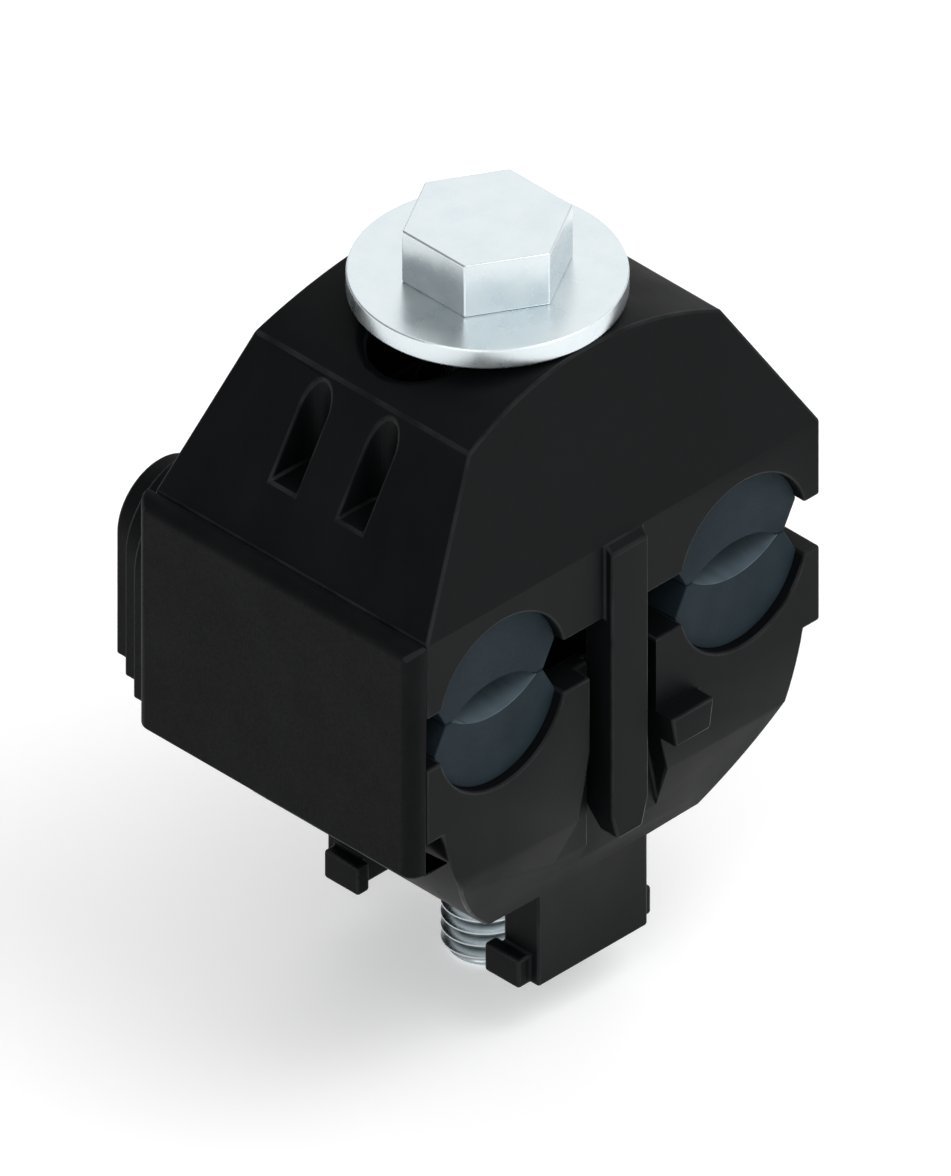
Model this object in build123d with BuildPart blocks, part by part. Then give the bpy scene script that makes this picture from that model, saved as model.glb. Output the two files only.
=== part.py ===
from build123d import *
import math
import os

# Insulation piercing connector for one main and one tap conductor.
# Millimetres, +Z up. The origin lies on the main conductor's axis, half way along the
# jaws and on the split plane between them. Both conductors run along Y.

# Jaws and grooves
groove_pitch = 28.8
groove_radius = 7.45
groove_centre_rise = 1.0
jaw_gap = 5.3
shell_width = 47.0
shell_depth = 32.5

# Upper shell
upper_side_height = 7.6
slope_height = 14.05
crown_width = 30.0
crown_depth = 25.7
crown_rise = 3.3

# Lower shell
rim_height = 7.7
ledge_inset = 1.9
front_face_height = 14.1
lower_height = 23.2
foot_width = 25.1
foot_depth = 25.3
flank_radius = 27.3

# Clamping screw M8 x 70, its washer and its nut
screw_diameter = 8.0
screw_length = 70.0
screw_tip_chamfer = 0.9
hexagon_size = 13.0
head_height = 5.3
nut_height = 6.5
thread_clearance = 0.05
washer_diameter = 24.0
washer_bore = 8.4
washer_thickness = 2.0

# Slot in the crown that lets the shell rock on the screw
crown_slot_length = 24.8
crown_slot_width = 10.0
crown_slot_depth = 8.5
crown_slot_chamfer_width = 1.1
crown_slot_chamfer_height = 0.5
screw_slot_length = 13.0
screw_hole_clearance = 0.6

# Guide legs of the upper shell, one at the front and one at the rear
leg_width = 4.4
leg_thickness = 3.3
leg_proud = 0.85
leg_reach = 22.9
leg_tip_height = 2.7
leg_tip_inset = 0.75
leg_tip_relief = 1.1
leg_clearance = 0.15

# Recess for each leg in the lower shell
recess_width = 7.8
recess_depth = 1.9
recess_foot_width = 13.2
recess_foot_drop = 21.7

# Round-ended pockets in the upper shell's slopes
pocket_spacing = 8.0
pocket_width = 3.0
pocket_floor_drop = 9.15
pocket_margin = 0.35

# Centre well between the grooves of both shells
well_width = 11.2
well_depth = 25.4
well_sink = 3.0

# Contact blades, two in each shell
blade_thickness = 2.5
blade_spacing = 16.0
blade_base_level = 9.3
blade_base_height = 5.0
blade_corner = 2.5
blade_fit = 0.03
tooth_count = 5
tooth_pitch = 2.2
tooth_height = 2.1
tooth_tip_level = 3.4
tooth_arc_radius = 13.0
tooth_bank_margin = 1.1
tooth_bank_width = (tooth_count - 1) * tooth_pitch + 2 * tooth_bank_margin
blade_length = groove_pitch + tooth_bank_width

# Elastomer seals, one in each half groove
seal_setback = 1.0
seal_fit = 0.02
seal_lip_half_width = 5.85
seal_lip_gap = 0.1
seal_scoop_half_width = 5.0
seal_scoop_depth = 1.75

# Lugs under the lower shell, with their hooks
lug_width = 13.06
lug_thickness = 4.2
lug_height = 9.4
hook_length = 4.1
hook_overhang = 1.4
hook_height = 2.85
hook_inner_offset = 0.9

# Tab on the front of the lower shell, beside the leg's recess
tab_width = 5.0
tab_foot_width = 4.1
tab_height = 3.0
tab_reach = 2.0
tab_drop = 7.4

# Elastomer end cap on the tap side
cap_thickness = 1.65
cap_edge_radius = 1.45
cap_clearance = 0.1
cap_bottom_drop = 10.75
cap_wall = 1.2
cap_rear_wall = 0.65
cap_hood_rise = -0.85
cap_hood_shift = 0.5
cap_step_radii = [8.75, 6.95, 5.15]
cap_step_length = 2.8
cap_lip_length = 24.0
cap_lip_height = 2.6
cap_stud_radius = 1.5
cap_stud_length = 2.5
cap_stud_spacing = 18.0

# Travel of the clamp from the position shown
closing_travel = 4.9
opening_travel = 13.5

# Levels and places that follow from the sizes above
screw_x = -groove_pitch / 2
upper_face_z = jaw_gap / 2
lower_face_z = -jaw_gap / 2
shoulder_z = upper_face_z + upper_side_height
crown_edge_z = shoulder_z + slope_height
crown_z = crown_edge_z + crown_rise
ledge_z = lower_face_z - rim_height
front_edge_z = lower_face_z - front_face_height
foot_z = lower_face_z - lower_height
front_y = -shell_depth / 2
screw_radius = screw_diameter / 2
screw_hole_radius = screw_radius + screw_hole_clearance
blade_slot_width = blade_thickness + 2 * blade_fit
seal_length = shell_depth - 2 * seal_setback
leg_front_y = front_y - leg_proud
leg_back_y = leg_front_y + leg_thickness
leg_tip_z = upper_face_z - leg_reach
cap_outer_x = -shell_width / 2 - cap_clearance - cap_thickness
cap_inner_x = -shell_width / 2 - cap_clearance
hood_x = -groove_pitch / 2 + cap_hood_shift
cap_bottom_z = lower_face_z - cap_bottom_drop
cap_rear_inner_y = shell_depth / 2 + cap_clearance
cap_rear_outer_y = cap_rear_inner_y + cap_rear_wall


def plan(z):
    """A horizontal plane centred on the clamping screw."""
    return Plane(origin=(screw_x, 0, z), x_dir=(1, 0, 0), z_dir=(0, 0, 1))


def front(y):
    """An upright plane across the grooves, centred on the clamping screw."""
    return Plane(origin=(screw_x, y, 0), x_dir=(1, 0, 0), z_dir=(0, -1, 0))


def side(x):
    """An upright plane along the grooves, at a distance x from the clamping screw."""
    return Plane(origin=(screw_x + x, 0, 0), x_dir=(0, 1, 0), z_dir=(1, 0, 0))


def blade_slot(direction):
    """Outline of the slot a blade is pushed into, up (1) or down (-1) from the split plane."""
    half = blade_length / 2 + blade_fit
    end_z = direction * (blade_base_level + blade_base_height + blade_fit)
    corner_z = end_z - direction * blade_corner
    with BuildLine() as outline:
        Polyline(
            (-half, 0),
            (-half, corner_z),
            (-half + blade_corner, end_z),
            (half - blade_corner, end_z),
            (half, corner_z),
            (half, 0),
            close=True,
        )
    make_face(outline.edges())


# Guide leg, drawn from the front and then trimmed to its side outline
with BuildPart() as front_leg:
    with BuildSketch(front(leg_front_y)):
        tip_shoulder_z = leg_tip_z + leg_tip_height
        tip_half = leg_width / 2 - leg_tip_inset
        with BuildLine():
            Polyline(
                (-leg_width / 2, shoulder_z),
                (-leg_width / 2, tip_shoulder_z),
                (-tip_half, leg_tip_z),
                (tip_half, leg_tip_z),
                (leg_width / 2, tip_shoulder_z),
                (leg_width / 2, shoulder_z),
                close=True,
            )
        make_face()
    extrude(amount=-leg_thickness)
    with BuildSketch(side(0)):
        with BuildLine():
            Polyline(
                (front_y, shoulder_z),
                (leg_front_y, shoulder_z - leg_proud),
                (leg_front_y, leg_tip_z),
                (leg_back_y - leg_tip_relief, leg_tip_z),
                (leg_back_y, leg_tip_z + leg_tip_height),
                (leg_back_y, shoulder_z),
                close=True,
            )
        make_face()
    extrude(amount=leg_width, both=True, mode=Mode.INTERSECT)

rear_leg = mirror(front_leg.part, about=Plane.XZ)


# Upper shell: a domed block with sloping sides and ends
with BuildPart() as upper_shell:
    with BuildSketch(front(0)):
        with BuildLine():
            Polyline(
                (-crown_width / 2, crown_edge_z),
                (-shell_width / 2, shoulder_z),
                (-shell_width / 2, upper_face_z),
                (shell_width / 2, upper_face_z),
                (shell_width / 2, shoulder_z),
                (crown_width / 2, crown_edge_z),
            )
            ThreePointArc(
                (crown_width / 2, crown_edge_z),
                (0, crown_z),
                (-crown_width / 2, crown_edge_z),
            )
        make_face()
    extrude(amount=shell_depth / 2, both=True)
    end_slope = (shell_depth - crown_depth) / 2 / slope_height
    top_half_depth = crown_depth / 2 - end_slope * crown_rise
    with BuildSketch(side(0)):
        with BuildLine():
            Polyline(
                (-shell_depth / 2, upper_face_z),
                (shell_depth / 2, upper_face_z),
                (shell_depth / 2, shoulder_z),
                (top_half_depth, crown_z),
                (-top_half_depth, crown_z),
                (-shell_depth / 2, shoulder_z),
                close=True,
            )
        make_face()
    extrude(amount=shell_width / 2, both=True, mode=Mode.INTERSECT)

    # Half grooves for the conductors
    with BuildSketch(front(0)):
        with GridLocations(groove_pitch, 0, 2, 1):
            with Locations((0, groove_centre_rise)):
                Circle(groove_radius)
    extrude(amount=shell_depth / 2, both=True, mode=Mode.SUBTRACT)

    # Pockets that hold the two contact blades
    for blade_y in (-blade_spacing / 2, blade_spacing / 2):
        with BuildSketch(front(blade_y - blade_slot_width / 2)):
            blade_slot(1)
        extrude(amount=-blade_slot_width, mode=Mode.SUBTRACT)

    # Well around the screw, screw slot and the wider slot in the crown
    with BuildSketch(plan(upper_face_z)):
        Rectangle(well_width, well_depth)
    extrude(amount=well_sink, mode=Mode.SUBTRACT)
    with BuildSketch(plan(upper_face_z)):
        SlotOverall(screw_slot_length, 2 * screw_hole_radius)
    extrude(amount=crown_z - upper_face_z, mode=Mode.SUBTRACT)
    with BuildSketch(plan(crown_z)):
        SlotOverall(crown_slot_length, crown_slot_width)
    extrude(amount=-crown_slot_depth, mode=Mode.SUBTRACT)
    crown_face = upper_shell.faces().filter_by(GeomType.CYLINDER).sort_by(Axis.Z)[-1]
    chamfer(
        crown_face.inner_wires()[0].edges(),
        length=crown_slot_chamfer_width,
        length2=crown_slot_chamfer_height,
        reference=crown_face,
    )

    # Round-ended pockets in both slopes
    pocket_floor_z = crown_edge_z - pocket_floor_drop
    pocket_run = (shell_width - crown_width) / 2
    pocket_end = crown_width / 2 + pocket_margin
    with BuildSketch(plan(pocket_floor_z)):
        for x_sign in (-1, 1):
            for y_sign in (-1, 1):
                y_centre = y_sign * pocket_spacing / 2
                with Locations((x_sign * (pocket_end + pocket_width / 2), y_centre)):
                    Circle(pocket_width / 2)
                with Locations(
                    (x_sign * (pocket_end + pocket_width / 2 + pocket_run / 2), y_centre)
                ):
                    Rectangle(pocket_run, pocket_width)
    extrude(amount=pocket_floor_drop + crown_rise, mode=Mode.SUBTRACT)

    add(front_leg.part)
    add(rear_leg)


# Lower shell: a rimmed block whose flanks curve in to a small foot
with BuildPart() as lower_shell:
    with BuildSketch(front(0)):
        ledge_x = shell_width / 2 - ledge_inset
        with BuildLine():
            Polyline(
                (0, lower_face_z),
                (shell_width / 2, lower_face_z),
                (shell_width / 2, ledge_z),
                (ledge_x, ledge_z),
            )
            RadiusArc((ledge_x, ledge_z), (foot_width / 2, foot_z), flank_radius)
            Line((foot_width / 2, foot_z), (0, foot_z))
            mirror(about=Plane.YZ)
        make_face()
    extrude(amount=shell_depth / 2, both=True)
    with BuildSketch(side(0)):
        with BuildLine():
            Polyline(
                (-shell_depth / 2, lower_face_z),
                (shell_depth / 2, lower_face_z),
                (shell_depth / 2, front_edge_z),
                (foot_depth / 2, foot_z),
                (-foot_depth / 2, foot_z),
                (-shell_depth / 2, front_edge_z),
                close=True,
            )
        make_face()
    extrude(amount=shell_width / 2, both=True, mode=Mode.INTERSECT)

    # Half grooves for the conductors
    with BuildSketch(front(0)):
        with GridLocations(groove_pitch, 0, 2, 1):
            with Locations((0, -groove_centre_rise)):
                Circle(groove_radius)
    extrude(amount=shell_depth / 2, both=True, mode=Mode.SUBTRACT)

    # Pockets that hold the two contact blades
    for blade_y in (-blade_spacing / 2, blade_spacing / 2):
        with BuildSketch(front(blade_y - blade_slot_width / 2)):
            blade_slot(-1)
        extrude(amount=-blade_slot_width, mode=Mode.SUBTRACT)

    # Well around the screw, the screw's hole and the hexagonal seat of the nut
    with BuildSketch(plan(lower_face_z)):
        Rectangle(well_width, well_depth)
    extrude(amount=-well_sink, mode=Mode.SUBTRACT)
    with BuildSketch(plan(lower_face_z)):
        Circle(screw_hole_radius)
    extrude(amount=-lower_height, mode=Mode.SUBTRACT)
    with BuildSketch(plan(foot_z)):
        RegularPolygon(hexagon_size / 2 + seal_fit, 6, major_radius=False, rotation=30)
    extrude(amount=nut_height, mode=Mode.SUBTRACT)

    # Flared recess at the front and rear, and the channel that guides each leg
    for y_sign in (-1, 1):
        recess_back_y = y_sign * (shell_depth / 2 - recess_depth)
        with BuildSketch(front(recess_back_y)):
            with BuildLine():
                Polyline(
                    (0, lower_face_z),
                    (recess_width / 2, lower_face_z),
                    (recess_width / 2, ledge_z),
                    (recess_foot_width / 2, lower_face_z - recess_foot_drop),
                    (0, lower_face_z - recess_foot_drop),
                )
                mirror(about=Plane.YZ)
            make_face()
        extrude(amount=-y_sign * recess_depth, mode=Mode.SUBTRACT)
        channel_back_y = y_sign * (-leg_back_y - leg_clearance)
        with BuildSketch(front(channel_back_y)):
            with Locations((0, (lower_face_z + foot_z) / 2)):
                Rectangle(leg_width + 2 * leg_clearance, lower_height)
        extrude(
            amount=-y_sign * (shell_depth / 2 - abs(channel_back_y)),
            mode=Mode.SUBTRACT,
        )

    # Lugs under the foot, each with a hook on either side
    for y_sign in (-1, 1):
        lug_y = y_sign * (foot_depth / 2 - lug_thickness / 2)
        with BuildSketch(plan(foot_z)):
            with Locations((0, lug_y)):
                Rectangle(lug_width, lug_thickness)
        extrude(amount=-lug_height)
        hook_y = y_sign * (
            foot_depth / 2 - lug_thickness - hook_inner_offset + hook_length / 2
        )
        with BuildSketch(plan(foot_z - lug_height)):
            for x_sign in (-1, 1):
                with Locations((x_sign * (lug_width + hook_overhang) / 2, hook_y)):
                    Rectangle(hook_overhang, hook_length)
        extrude(amount=hook_height)

    # Tab beside the front recess
    with BuildSketch(front(front_y)):
        tab_top_z = lower_face_z - tab_drop
        tab_draft = (tab_width - tab_foot_width) / 2
        with BuildLine():
            Polyline(
                (recess_width / 2, tab_top_z),
                (recess_width / 2 + tab_width, tab_top_z),
                (recess_width / 2 + tab_width - tab_draft, tab_top_z - tab_height),
                (recess_width / 2 + tab_draft, tab_top_z - tab_height),
                close=True,
            )
        make_face()
    extrude(amount=tab_reach)

    # Sockets for the end cap's studs
    with BuildSketch(side(-shell_width / 2)):
        with Locations((0, (lower_face_z + ledge_z) / 2)):
            with GridLocations(cap_stud_spacing, 0, 2, 1):
                Circle(cap_stud_radius + seal_fit)
    extrude(amount=cap_stud_length, mode=Mode.SUBTRACT)


# Clamping screw
head_seat_z = crown_z + washer_thickness
with BuildPart() as hex_bolt:
    with BuildSketch(plan(head_seat_z)):
        RegularPolygon(hexagon_size / 2, 6, major_radius=False, rotation=30)
    extrude(amount=head_height)
    with BuildSketch(plan(head_seat_z)):
        Circle(screw_radius)
    extrude(amount=-screw_length)
    tip_edge = hex_bolt.edges().filter_by(GeomType.CIRCLE).sort_by(Axis.Z)[0]
    chamfer(tip_edge, length=screw_tip_chamfer)

with BuildPart() as flat_washer:
    with BuildSketch(plan(crown_z)):
        Circle(washer_diameter / 2)
        Circle(washer_bore / 2, mode=Mode.SUBTRACT)
    extrude(amount=washer_thickness)

with BuildPart() as captive_nut:
    with BuildSketch(plan(foot_z)):
        RegularPolygon(hexagon_size / 2, 6, major_radius=False, rotation=30)
        Circle(screw_radius + thread_clearance, mode=Mode.SUBTRACT)
    extrude(amount=nut_height)


def tooth_tip(offset):
    """Distance of a tooth's tip from the split plane, on a shallow arc."""
    sagitta = tooth_arc_radius - math.sqrt(tooth_arc_radius**2 - offset**2)
    return tooth_tip_level - sagitta


def blade_outline():
    """Outline of a blade below the split plane: a bar with a bank of teeth at each groove."""
    half = blade_length / 2
    base_z = -blade_base_level - blade_base_height
    shoulder = -tooth_tip_level - tooth_height
    points = [(-half, base_z + blade_corner), (-half, shoulder)]
    for centre in (-groove_pitch / 2, groove_pitch / 2):
        for index in range(tooth_count):
            offset = (index - (tooth_count - 1) / 2) * tooth_pitch
            tip_z = -tooth_tip(offset)
            points.append((centre + offset, tip_z))
            if index < tooth_count - 1:
                points.append((centre + offset + tooth_pitch / 2, tip_z - tooth_height))
        if centre < 0:
            points.append((centre + tooth_bank_width / 2, shoulder))
            points.append((centre + tooth_bank_width / 2, -blade_base_level))
            points.append((-centre - tooth_bank_width / 2, -blade_base_level))
            points.append((-centre - tooth_bank_width / 2, shoulder))
    points.append((half, shoulder))
    points.append((half, base_z + blade_corner))
    points.append((half - blade_corner, base_z))
    points.append((-half + blade_corner, base_z))
    return points


def make_blade(blade_y):
    """A toothed contact blade of the lower shell, cut from flat bar."""
    with BuildPart() as blade:
        with BuildSketch(front(blade_y - blade_thickness / 2)):
            with BuildLine():
                Polyline(*blade_outline(), close=True)
            make_face()
        extrude(amount=-blade_thickness)
    return blade.part


def make_seal(centre_x):
    """The lower half of a seal: it fills the half groove and is scooped for the conductor."""
    scoop_radius = (seal_scoop_half_width**2 + seal_scoop_depth**2) / (2 * seal_scoop_depth)
    with BuildPart() as seal:
        with BuildSketch(front(0)):
            with Locations((centre_x, -groove_centre_rise)):
                Circle(groove_radius - seal_fit)
            with Locations((centre_x, (lower_face_z + groove_radius) / 2)):
                Rectangle(
                    2 * groove_radius,
                    groove_radius - lower_face_z,
                    mode=Mode.SUBTRACT,
                )
            mouth = math.sqrt(groove_radius**2 - (lower_face_z + groove_centre_rise) ** 2)
            mouth_half = mouth - seal_fit
            with BuildLine():
                Polyline(
                    (centre_x - mouth_half, lower_face_z),
                    (centre_x - seal_lip_half_width, -seal_lip_gap / 2),
                    (centre_x + seal_lip_half_width, -seal_lip_gap / 2),
                    (centre_x + mouth_half, lower_face_z),
                    close=True,
                )
            make_face()
            with Locations((centre_x, scoop_radius - seal_scoop_depth)):
                Circle(scoop_radius, mode=Mode.SUBTRACT)
        extrude(amount=seal_length / 2, both=True)
        with BuildSketch(plan(0)):
            with Locations((centre_x, 0)):
                with GridLocations(0, blade_spacing, 1, 2):
                    Rectangle(tooth_bank_width + 2 * blade_fit, blade_slot_width)
        extrude(amount=-blade_base_level, mode=Mode.SUBTRACT)
    return seal.part


# Blades and seals: the lower ones as drawn, the upper ones mirrored in the split plane
lower_front_blade = make_blade(-blade_spacing / 2)
lower_rear_blade = make_blade(blade_spacing / 2)
upper_front_blade = mirror(lower_front_blade, about=Plane.XY)
upper_rear_blade = mirror(lower_rear_blade, about=Plane.XY)
main_lower_seal = make_seal(groove_pitch / 2)
tap_lower_seal = make_seal(-groove_pitch / 2)
main_upper_seal = mirror(main_lower_seal, about=Plane.XY)
tap_upper_seal = mirror(tap_lower_seal, about=Plane.XY)


def hood_sketch(radius, bottom_z):
    """A round-topped upright outline around the tap groove, added to the open sketch."""
    with Locations((hood_x, cap_hood_rise)):
        Circle(radius)
    with Locations((hood_x, (cap_hood_rise + bottom_z) / 2)):
        Rectangle(2 * radius, cap_hood_rise - bottom_z)


# End cap: a side plate, a rear wall and a stepped hood over the tap conductor's end
with BuildPart() as tap_end_cap:
    with BuildSketch(side(cap_outer_x)):
        plate_centre = ((front_y + cap_rear_outer_y) / 2, (cap_bottom_z + shoulder_z) / 2)
        with Locations(plate_centre):
            Rectangle(cap_rear_outer_y - front_y, shoulder_z - cap_bottom_z)
    extrude(amount=cap_thickness)
    outer_edges = tap_end_cap.faces().sort_by(Axis.X)[0].edges().sort_by(Axis.Z)
    fillet(outer_edges[1:], radius=cap_edge_radius)
    with BuildSketch(front(cap_rear_outer_y)):
        hood_sketch(cap_step_radii[0], cap_bottom_z)
        wall_top_z = cap_hood_rise + cap_step_radii[0]
        with Locations(((cap_inner_x + hood_x) / 2, (wall_top_z + cap_bottom_z) / 2)):
            Rectangle(hood_x - cap_inner_x, wall_top_z - cap_bottom_z)
    extrude(amount=cap_rear_wall)
    for index, radius in enumerate(cap_step_radii):
        with BuildSketch(front(cap_rear_outer_y)):
            hood_sketch(radius, cap_bottom_z)
        extrude(amount=-cap_step_length * (index + 1))
    for index, radius in enumerate(cap_step_radii):
        with BuildSketch(front(cap_rear_inner_y)):
            hood_sketch(radius - cap_wall, cap_bottom_z + cap_wall)
        depth = cap_rear_wall + cap_step_length * (index + 1) - cap_wall
        extrude(amount=-depth, mode=Mode.SUBTRACT)

    # Lip that hooks under the lower shell's ledge, and two studs
    with BuildSketch(side(cap_inner_x)):
        with Locations((0, cap_bottom_z + cap_lip_height / 2)):
            Rectangle(cap_lip_length, cap_lip_height)
    extrude(amount=ledge_inset + cap_clearance)
    with BuildSketch(side(cap_inner_x)):
        with Locations((0, (lower_face_z + ledge_z) / 2)):
            with GridLocations(cap_stud_spacing, 0, 2, 1):
                Circle(cap_stud_radius)
    extrude(amount=cap_clearance + cap_stud_length)


# One file for each piece
pieces = {
    "upper_shell": upper_shell.part,
    "lower_shell": lower_shell.part,
    "hex_bolt": hex_bolt.part,
    "flat_washer": flat_washer.part,
    "captive_nut": captive_nut.part,
    "main_upper_seal": main_upper_seal,
    "main_lower_seal": main_lower_seal,
    "tap_upper_seal": tap_upper_seal,
    "tap_lower_seal": tap_lower_seal,
    "upper_front_blade": upper_front_blade,
    "upper_rear_blade": upper_rear_blade,
    "lower_front_blade": lower_front_blade,
    "lower_rear_blade": lower_rear_blade,
    "tap_end_cap": tap_end_cap.part,
}
os.makedirs("parts", exist_ok=True)
for name, piece in pieces.items():
    piece.label = name
    export_step(piece, f"parts/{name}.step")
    print(name, round(piece.volume, 1), "cubic millimetres")
print("clamp travel:", -opening_travel, "to", closing_travel)
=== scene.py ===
# %% [markdown]
# # Insulation piercing connector
#
# An insulation piercing connector joins a tap cable to a main cable without stripping either.
# Two black plastic shells close on both cables like jaws, and toothed metal blades inside them
# bite through the insulation. One zinc-plated screw closes the jaws, rubber seals keep water
# away from the bite, and a rubber cap closes the tap side.
#
# The CAD frame already holds every piece at its real size and place. This file adds what the
# eye looks for: softened moulded edges, a real screw thread, rubber and metal finishes, a
# floor, light and a camera. Sizes on the part are written in millimetres, as on a drawing, and
# MM turns them into Blender's metres. The studio around it is in metres.

import math

import bpy
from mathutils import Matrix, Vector


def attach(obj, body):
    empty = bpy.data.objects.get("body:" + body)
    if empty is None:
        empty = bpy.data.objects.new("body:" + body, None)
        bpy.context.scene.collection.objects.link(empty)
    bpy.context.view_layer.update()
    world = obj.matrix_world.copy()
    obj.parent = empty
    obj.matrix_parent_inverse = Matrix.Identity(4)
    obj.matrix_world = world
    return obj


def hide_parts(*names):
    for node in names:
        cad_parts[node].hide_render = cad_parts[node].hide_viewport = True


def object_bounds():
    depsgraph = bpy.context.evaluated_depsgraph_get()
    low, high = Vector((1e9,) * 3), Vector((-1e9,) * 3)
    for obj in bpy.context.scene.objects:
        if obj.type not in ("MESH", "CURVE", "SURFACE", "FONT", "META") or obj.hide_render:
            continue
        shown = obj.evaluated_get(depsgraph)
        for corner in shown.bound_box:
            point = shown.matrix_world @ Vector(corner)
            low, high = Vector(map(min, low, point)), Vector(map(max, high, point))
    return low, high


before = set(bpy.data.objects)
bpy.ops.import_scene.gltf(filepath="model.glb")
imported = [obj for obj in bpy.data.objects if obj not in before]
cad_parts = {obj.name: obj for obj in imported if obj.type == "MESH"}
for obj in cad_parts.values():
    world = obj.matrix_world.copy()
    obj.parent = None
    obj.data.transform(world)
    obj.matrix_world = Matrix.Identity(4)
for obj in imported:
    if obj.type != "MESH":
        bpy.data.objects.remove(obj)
cad_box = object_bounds()
MM = 0.001
print("nodes in the frame:", sorted(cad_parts))

# %% [markdown]
# ## Camera
#
# The reference picture is an isometric drawing: no perspective, turned by 45 degrees and seen
# from 35.26 degrees above. A long lens from far away would come close to it. An orthographic
# camera gives it exactly, and its frame height is a plain length: the drawing's height in
# pixels over its scale, which the 13 mm hexagon head fixes at 11.83 pixels per millimetre.

# %% Camera
PICTURE_HEIGHT = 1176
PIXELS_PER_MM = 11.83
ISOMETRIC_TILT = math.atan(1 / math.sqrt(2))
ISOMETRIC_TURN = math.pi / 4
VIEW_CENTRE = Vector((-15.117, 0.717, -3.46)) * MM
CAMERA_DISTANCE = 0.5
FARTHEST_SEEN = 10


def add_camera():
    """An orthographic camera that frames the part as the drawing does."""
    bpy.ops.object.camera_add()
    camera = bpy.context.object
    camera.name = "isometric_camera"
    camera.rotation_euler = (math.pi / 2 - ISOMETRIC_TILT, 0, -ISOMETRIC_TURN)
    bpy.context.view_layer.update()
    backwards = camera.matrix_world.to_3x3() @ Vector((0, 0, 1))
    camera.location = VIEW_CENTRE + backwards * CAMERA_DISTANCE
    camera.data.type = "ORTHO"
    camera.data.ortho_scale = PICTURE_HEIGHT / PIXELS_PER_MM * MM
    camera.data.clip_end = FARTHEST_SEEN
    bpy.context.scene.camera = camera
    return camera


camera = add_camera()
print("frame height in millimetres:", round(camera.data.ortho_scale / MM, 1))

# %% [markdown]
# ## Helpers for modelling
#
# By hand, every step starts with a click on a piece and on some of its faces. A script has no
# mouse, and an operator works on all that is selected, so these helpers select one piece and
# nothing else, and pick its vertices, edges or faces by a test of their place or direction.
# The last one bakes a piece's place into its mesh, as the CAD pieces have it, so that patterns
# and poses fit both kinds alike.


# %% Select one piece
def select_only(piece):
    """Makes one piece the selected and active object."""
    bpy.ops.object.select_all(action="DESELECT")
    piece.select_set(True)
    bpy.context.view_layer.objects.active = piece


# %% Pick some of its elements
def pick(piece, kind, test):
    """Enters edit mode with just the VERT, EDGE or FACE elements that pass a test."""
    select_only(piece)
    bpy.ops.object.mode_set(mode="EDIT")
    bpy.ops.mesh.select_mode(type=kind)
    bpy.ops.mesh.select_all(action="DESELECT")
    bpy.ops.object.mode_set(mode="OBJECT")
    mesh = piece.data
    elements = {"VERT": mesh.vertices, "EDGE": mesh.edges, "FACE": mesh.polygons}[kind]
    for element in elements:
        element.select = test(element)
    bpy.ops.object.mode_set(mode="EDIT")


# %% Apply modifiers and place
def apply_modifiers(piece):
    """Applies every modifier of a piece in its order."""
    select_only(piece)
    for modifier in list(piece.modifiers):
        bpy.ops.object.modifier_apply(modifier=modifier.name)


def settle(piece):
    """Bakes the piece's place into its mesh, so that its object sits at the origin."""
    select_only(piece)
    bpy.ops.object.transform_apply(location=True, rotation=True, scale=True)
    return piece


# %% [markdown]
# ## Room for the rounds
#
# A moulding never has a knife edge: its corners are rounded by a few tenths of a millimetre,
# and those narrow rounds catch the light and make black plastic readable. A Bevel modifier
# with an angle limit could round them all at once. But where edges crowd together, at slot
# ends and slim wedges, a wide round runs past its corner and leaves a spike, and the
# modifier's own clamp narrows every round of the piece to suit the tightest place. So the room
# beside each sharp edge is measured first, and each edge gets a width of its own.

# %% Edges that turn
SHARPER_THAN = math.radians(30)


def sharp_edges(mesh):
    """The vertex pairs of the edges that turn by more than the set angle."""
    beside = {}
    for face in mesh.polygons:
        for key in face.edge_keys:
            beside.setdefault(key, []).append(face.normal.copy())
    pairs = {key: pair for key, pair in beside.items() if len(pair) == 2}
    return {key for key, (one, two) in pairs.items() if one.angle(two, 0) > SHARPER_THAN}


# %% [markdown]
# A round cuts into the two faces beside its edge. At each corner of a face it may use a bit
# less than half of the next edge, so that a round at that edge's other end has room too. Where
# both edges of a corner are sharp, their rounds meet on the line that halves the corner, and
# the narrower the corner is, the less room it leaves them. Guessing one safe radius for the
# whole piece would be quicker, but it would be too fine to see on the long edges.

# %% Room at one corner
ROOM_SHARE = 0.45
NEARLY_STRAIGHT = 3.1
NEARLY_CLOSED = 0.02


def corner_room(before, after, both_sharp, other):
    """The widest round that one corner of a face has room for; angles are in radians."""
    opening = before.angle(after, math.pi)
    if both_sharp:
        half = min(opening, NEARLY_STRAIGHT) / 2
        return ROOM_SHARE * min(before.length, after.length) * math.tan(half)
    if NEARLY_CLOSED < opening < NEARLY_STRAIGHT:
        return ROOM_SHARE * other.length * math.sin(opening)
    return math.inf


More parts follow.
